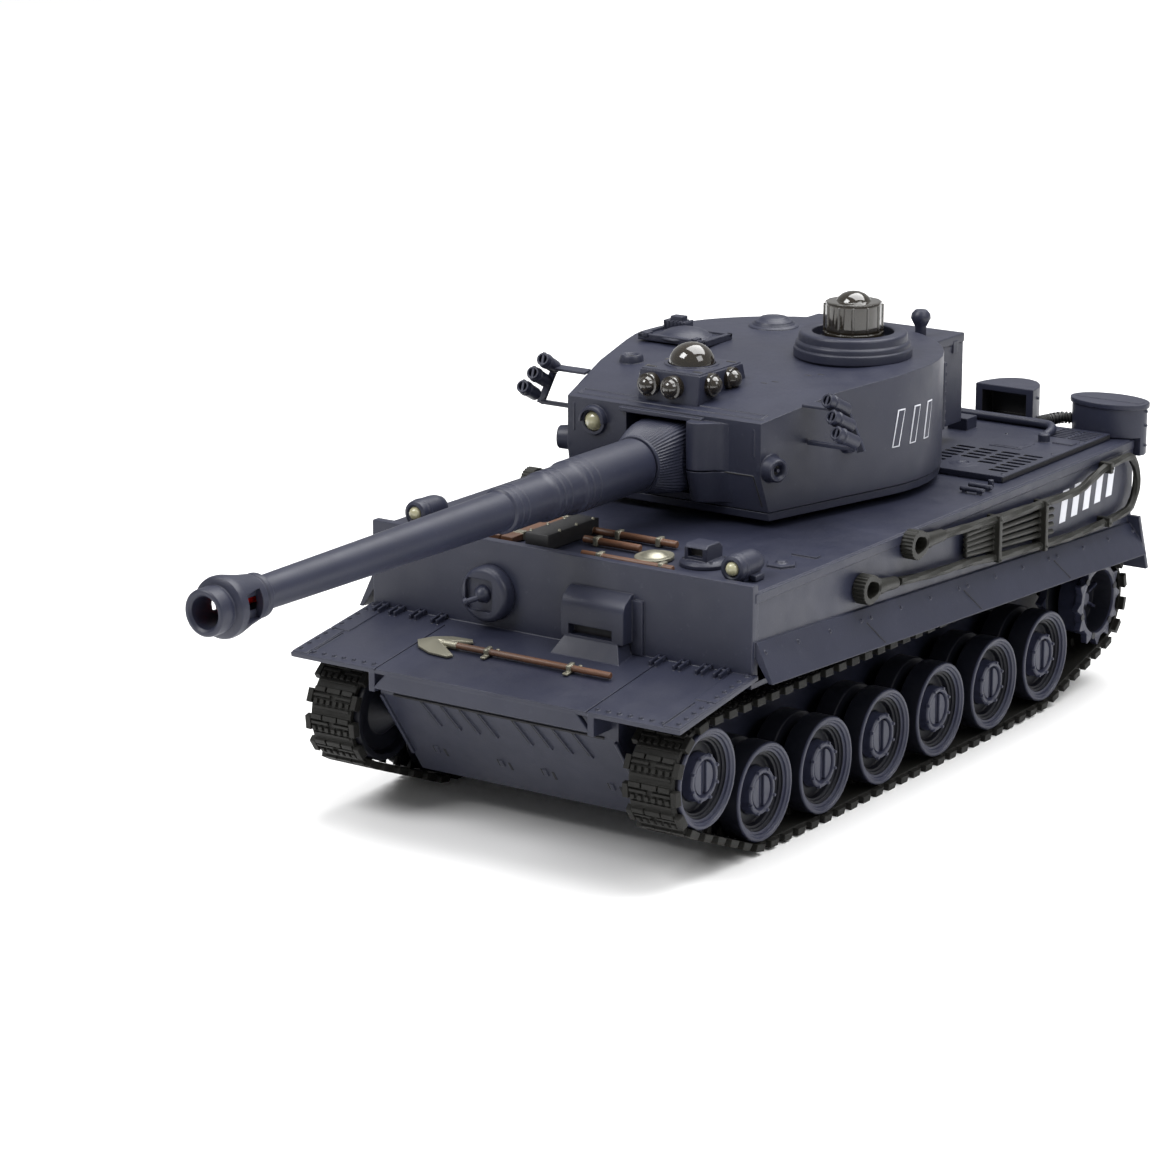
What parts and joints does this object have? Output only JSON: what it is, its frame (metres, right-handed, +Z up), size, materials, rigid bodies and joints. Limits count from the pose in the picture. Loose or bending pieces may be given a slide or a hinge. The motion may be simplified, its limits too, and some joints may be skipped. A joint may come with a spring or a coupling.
{
  "type": "radio-controlled tank",
  "caption": "Radio-controlled model heavy tank with a traversing turret, an elevating long gun, geared sprockets, road wheels inside rubber tracks and infrared game sensors.",
  "frame": {"origin": "on the ground, in the middle of the overall length (muzzle to rear air cleaners) and width (skirt to skirt)", "axes": "+Z up, -Y towards the muzzle and the tank's front, +X towards the tank's left side"},
  "size_m": [0.1226, 0.3326, 0.1173],
  "materials": {
    "hull_plastic": "satin dark blue-grey moulded plastic",
    "wheel_plastic": "satin blue-grey moulded plastic",
    "track_rubber": "dull olive-black, moulded cleats",
    "olive_plastic": "dark olive moulding",
    "smoked_clear": "smoked, polished, lets infrared through",
    "lamp_clear": "clear with a yellowish lamp behind",
    "red_clear": "clear red",
    "tool_paint": "brown handles and silver blades, painted",
    "motor_steel": "plated can",
    "gear_nylon": "natural nylon",
    "battery_wrap": "shrink wrap",
    "board_green": "solder mask",
    "black_plastic": "black moulding"
  },
  "bodies": {
    "hull": {"upper_hull": "hull_plastic", "lower_hull": "hull_plastic", "engine_deck": "hull_plastic", "battery_door": "hull_plastic", "battery_pack": "battery_wrap", "control_board": "board_green", "speaker": "black_plastic", "drive_motor_left": "motor_steel", "drive_motor_right": "motor_steel", "track_left": "track_rubber", "track_right": "track_rubber", "headlight_left": "lamp_clear", "headlight_right": "lamp_clear", "bow_gun": "hull_plastic", "side_rack_left": "olive_plastic", "side_rack_right": "olive_plastic", "exhaust_cover_left": "hull_plastic", "exhaust_cover_right": "hull_plastic", "air_cleaner_left": "hull_plastic", "air_cleaner_right": "hull_plastic", "glacis_shovel": "tool_paint", "roof_tools": "tool_paint", "driver_periscope": "smoked_clear", "traverse_motor": "motor_steel"},
    "turret": {"turret_shell": "hull_plastic", "turret_base": "hull_plastic", "commander_cupola": "hull_plastic", "ir_receiver_cap": "smoked_clear", "sensor_pod": "hull_plastic", "sensor_dome": "smoked_clear", "smoke_launcher_left": "olive_plastic", "smoke_launcher_right": "olive_plastic", "stowage_bin": "hull_plastic", "loader_hatch": "hull_plastic"},
    "gun": {"mantlet": "hull_plastic", "gun_barrel": "hull_plastic", "muzzle_brake": "hull_plastic", "muzzle_lens": "red_clear"},
    "traverse_pinion": {"traverse_pinion": "gear_nylon"},
    "power_switch": {"power_switch": "black_plastic"},
    "sprocket_left": {"sprocket_left": "wheel_plastic", "sprocket_gear_left": "gear_nylon"},
    "motor_pinion_left": {"motor_pinion_left": "gear_nylon"},
    "idler_left": {"idler_left": "wheel_plastic"},
    "road_wheel_left_1": {"road_wheel_left_1": "wheel_plastic"},
    "road_wheel_left_2": {"road_wheel_left_2": "wheel_plastic"},
    "road_wheel_left_3": {"road_wheel_left_3": "wheel_plastic"},
    "road_wheel_left_4": {"road_wheel_left_4": "wheel_plastic"},
    "road_wheel_left_5": {"road_wheel_left_5": "wheel_plastic"},
    "road_wheel_left_6": {"road_wheel_left_6": "wheel_plastic"},
    "sprocket_right": {"sprocket_right": "wheel_plastic", "sprocket_gear_right": "gear_nylon"},
    "motor_pinion_right": {"motor_pinion_right": "gear_nylon"},
    "idler_right": {"idler_right": "wheel_plastic"},
    "road_wheel_right_1": {"road_wheel_right_1": "wheel_plastic"},
    "road_wheel_right_2": {"road_wheel_right_2": "wheel_plastic"},
    "road_wheel_right_3": {"road_wheel_right_3": "wheel_plastic"},
    "road_wheel_right_4": {"road_wheel_right_4": "wheel_plastic"},
    "road_wheel_right_5": {"road_wheel_right_5": "wheel_plastic"},
    "road_wheel_right_6": {"road_wheel_right_6": "wheel_plastic"}
  },
  "joints": [
    {"name": "turret_traverse", "type": "hinge", "parent": "hull", "child": "turret", "pos_m": [-0.0025, 0.0678, 0.0692], "axis": [0, 0, 1], "range_deg": [-140, 140]},
    {"name": "gun_elevation", "type": "hinge", "parent": "turret", "child": "gun", "pos_m": [-0.0025, 0.0143, 0.0828], "axis": [-1, 0, 0], "range_deg": [-2, 12]},
    {"name": "traverse_pinion_spin", "type": "hinge", "parent": "hull", "child": "traverse_pinion", "pos_m": [-0.0025, 0.0357, 0.058], "axis": [0, 0, 1], "range_deg": [-560, 560]},
    {"name": "power_switch_slide", "type": "slide", "parent": "hull", "child": "power_switch", "axis": [0, 1, 0], "range_m": [0, 0.0055]},
    {"name": "sprocket_left_spin", "type": "hinge", "parent": "hull", "child": "sprocket_left", "pos_m": [0.0541, 0.1444, 0.0234], "axis": [1, 0, 0], "continuous": true},
    {"name": "motor_pinion_left_spin", "type": "hinge", "parent": "hull", "child": "motor_pinion_left", "pos_m": [0.026, 0.1338, 0.0234], "axis": [1, 0, 0], "continuous": true},
    {"name": "idler_left_spin", "type": "hinge", "parent": "hull", "child": "idler_left", "pos_m": [0.0541, -0.0532, 0.0255], "axis": [1, 0, 0], "continuous": true},
    {"name": "road_wheel_left_1_spin", "type": "hinge", "parent": "hull", "child": "road_wheel_left_1", "pos_m": [0.0541, -0.0277, 0.0153], "axis": [1, 0, 0], "continuous": true},
    {"name": "road_wheel_left_2_spin", "type": "hinge", "parent": "hull", "child": "road_wheel_left_2", "pos_m": [0.0541, 0.0005, 0.01455], "axis": [1, 0, 0], "continuous": true},
    {"name": "road_wheel_left_3_spin", "type": "hinge", "parent": "hull", "child": "road_wheel_left_3", "pos_m": [0.0541, 0.0287, 0.01455], "axis": [1, 0, 0], "continuous": true},
    {"name": "road_wheel_left_4_spin", "type": "hinge", "parent": "hull", "child": "road_wheel_left_4", "pos_m": [0.0541, 0.0569, 0.01455], "axis": [1, 0, 0], "continuous": true},
    {"name": "road_wheel_left_5_spin", "type": "hinge", "parent": "hull", "child": "road_wheel_left_5", "pos_m": [0.0541, 0.0851, 0.01455], "axis": [1, 0, 0], "continuous": true},
    {"name": "road_wheel_left_6_spin", "type": "hinge", "parent": "hull", "child": "road_wheel_left_6", "pos_m": [0.0541, 0.1133, 0.0153], "axis": [1, 0, 0], "continuous": true},
    {"name": "sprocket_right_spin", "type": "hinge", "parent": "hull", "child": "sprocket_right", "pos_m": [-0.0541, 0.1444, 0.0234], "axis": [1, 0, 0], "continuous": true},
    {"name": "motor_pinion_right_spin", "type": "hinge", "parent": "hull", "child": "motor_pinion_right", "pos_m": [-0.026, 0.1338, 0.0234], "axis": [1, 0, 0], "continuous": true},
    {"name": "idler_right_spin", "type": "hinge", "parent": "hull", "child": "idler_right", "pos_m": [-0.0541, -0.0532, 0.0255], "axis": [1, 0, 0], "continuous": true},
    {"name": "road_wheel_right_1_spin", "type": "hinge", "parent": "hull", "child": "road_wheel_right_1", "pos_m": [-0.0541, -0.0277, 0.0153], "axis": [1, 0, 0], "continuous": true},
    {"name": "road_wheel_right_2_spin", "type": "hinge", "parent": "hull", "child": "road_wheel_right_2", "pos_m": [-0.0541, 0.0005, 0.01455], "axis": [1, 0, 0], "continuous": true},
    {"name": "road_wheel_right_3_spin", "type": "hinge", "parent": "hull", "child": "road_wheel_right_3", "pos_m": [-0.0541, 0.0287, 0.01455], "axis": [1, 0, 0], "continuous": true},
    {"name": "road_wheel_right_4_spin", "type": "hinge", "parent": "hull", "child": "road_wheel_right_4", "pos_m": [-0.0541, 0.0569, 0.01455], "axis": [1, 0, 0], "continuous": true},
    {"name": "road_wheel_right_5_spin", "type": "hinge", "parent": "hull", "child": "road_wheel_right_5", "pos_m": [-0.0541, 0.0851, 0.01455], "axis": [1, 0, 0], "continuous": true},
    {"name": "road_wheel_right_6_spin", "type": "hinge", "parent": "hull", "child": "road_wheel_right_6", "pos_m": [-0.0541, 0.1133, 0.0153], "axis": [1, 0, 0], "continuous": true}
  ],
  "couplings": [
    {"joint": "traverse_pinion_spin", "follows": "turret_traverse", "ratio": -4},
    {"joint": "motor_pinion_left_spin", "follows": "sprocket_left_spin", "ratio": -3},
    {"joint": "idler_left_spin", "follows": "sprocket_left_spin", "ratio": 1},
    {"joint": "road_wheel_left_1_spin", "follows": "sprocket_left_spin", "ratio": 1},
    {"joint": "road_wheel_left_2_spin", "follows": "sprocket_left_spin", "ratio": 1},
    {"joint": "road_wheel_left_3_spin", "follows": "sprocket_left_spin", "ratio": 1},
    {"joint": "road_wheel_left_4_spin", "follows": "sprocket_left_spin", "ratio": 1},
    {"joint": "road_wheel_left_5_spin", "follows": "sprocket_left_spin", "ratio": 1},
    {"joint": "road_wheel_left_6_spin", "follows": "sprocket_left_spin", "ratio": 1},
    {"joint": "motor_pinion_right_spin", "follows": "sprocket_right_spin", "ratio": -3},
    {"joint": "idler_right_spin", "follows": "sprocket_right_spin", "ratio": 1},
    {"joint": "road_wheel_right_1_spin", "follows": "sprocket_right_spin", "ratio": 1},
    {"joint": "road_wheel_right_2_spin", "follows": "sprocket_right_spin", "ratio": 1},
    {"joint": "road_wheel_right_3_spin", "follows": "sprocket_right_spin", "ratio": 1},
    {"joint": "road_wheel_right_4_spin", "follows": "sprocket_right_spin", "ratio": 1},
    {"joint": "road_wheel_right_5_spin", "follows": "sprocket_right_spin", "ratio": 1},
    {"joint": "road_wheel_right_6_spin", "follows": "sprocket_right_spin", "ratio": 1}
  ]
}
